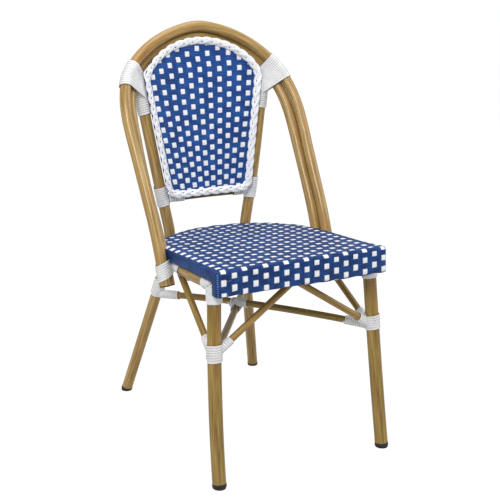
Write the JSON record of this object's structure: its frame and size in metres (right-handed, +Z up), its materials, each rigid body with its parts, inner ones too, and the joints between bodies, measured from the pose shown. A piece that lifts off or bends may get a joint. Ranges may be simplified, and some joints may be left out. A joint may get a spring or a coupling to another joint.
{
  "type": "rattan bistro chair",
  "caption": "Armless cafe chair: bent twin-tube hoop back running down to the seat sides, splayed legs with crossed stretchers, strand bindings, woven seat and woven back panel.",
  "frame": {"origin": "on the floor, midway between the feet", "axes": "+Z up, the chair faces -Y, +X towards its right side as seen from the front"},
  "size_m": [0.4456, 0.5777, 0.88],
  "materials": {
    "cane_tube": "painted to look like cane",
    "dark_tube": "dark paint",
    "blue_weave": "woven flat strand",
    "white_strand": "wound or braided strand",
    "black_plastic": "moulded",
    "screw_metal": "bare"
  },
  "bodies": {
    "root": {"hoop_outer": "cane_tube", "hoop_inner": "cane_tube", "front_rail": "cane_tube", "rear_rail": "cane_tube", "back_rail": "dark_tube", "stretcher_upper": "cane_tube", "stretcher_lower": "cane_tube", "binding_cross": "white_strand", "upright_left": "cane_tube", "front_leg_left": "cane_tube", "side_rail_left": "cane_tube", "side_brace_left": "cane_tube", "front_brace_left": "cane_tube", "foot_cap_rear_left": "black_plastic", "foot_cap_front_left": "black_plastic", "hoop_plug_outer_left": "black_plastic", "hoop_plug_inner_left": "black_plastic", "winding_shoulder_left": "white_strand", "winding_neck_left": "white_strand", "winding_waist_left": "white_strand", "binding_leg_top_left": "white_strand", "binding_front_knot_left": "white_strand", "binding_rear_knot_left": "white_strand", "binding_hoop_end_left": "white_strand", "binding_rail_end_left": "white_strand", "upright_right": "cane_tube", "front_leg_right": "cane_tube", "side_rail_right": "cane_tube", "side_brace_right": "cane_tube", "front_brace_right": "cane_tube", "foot_cap_rear_right": "black_plastic", "foot_cap_front_right": "black_plastic", "hoop_plug_outer_right": "black_plastic", "hoop_plug_inner_right": "black_plastic", "winding_shoulder_right": "white_strand", "winding_neck_right": "white_strand", "winding_waist_right": "white_strand", "binding_leg_top_right": "white_strand", "binding_front_knot_right": "white_strand", "binding_rear_knot_right": "white_strand", "binding_hoop_end_right": "white_strand", "binding_rail_end_right": "white_strand", "woven_seat": "blue_weave", "seat_frame": "cane_tube", "apron_bar": "cane_tube", "seat_screw_front_left": "screw_metal", "seat_screw_rear_left": "screw_metal", "seat_screw_front_right": "screw_metal", "seat_screw_rear_right": "screw_metal", "back_frame": "cane_tube", "woven_back": "blue_weave", "back_braid": "white_strand"}
  },
  "joints": []
}
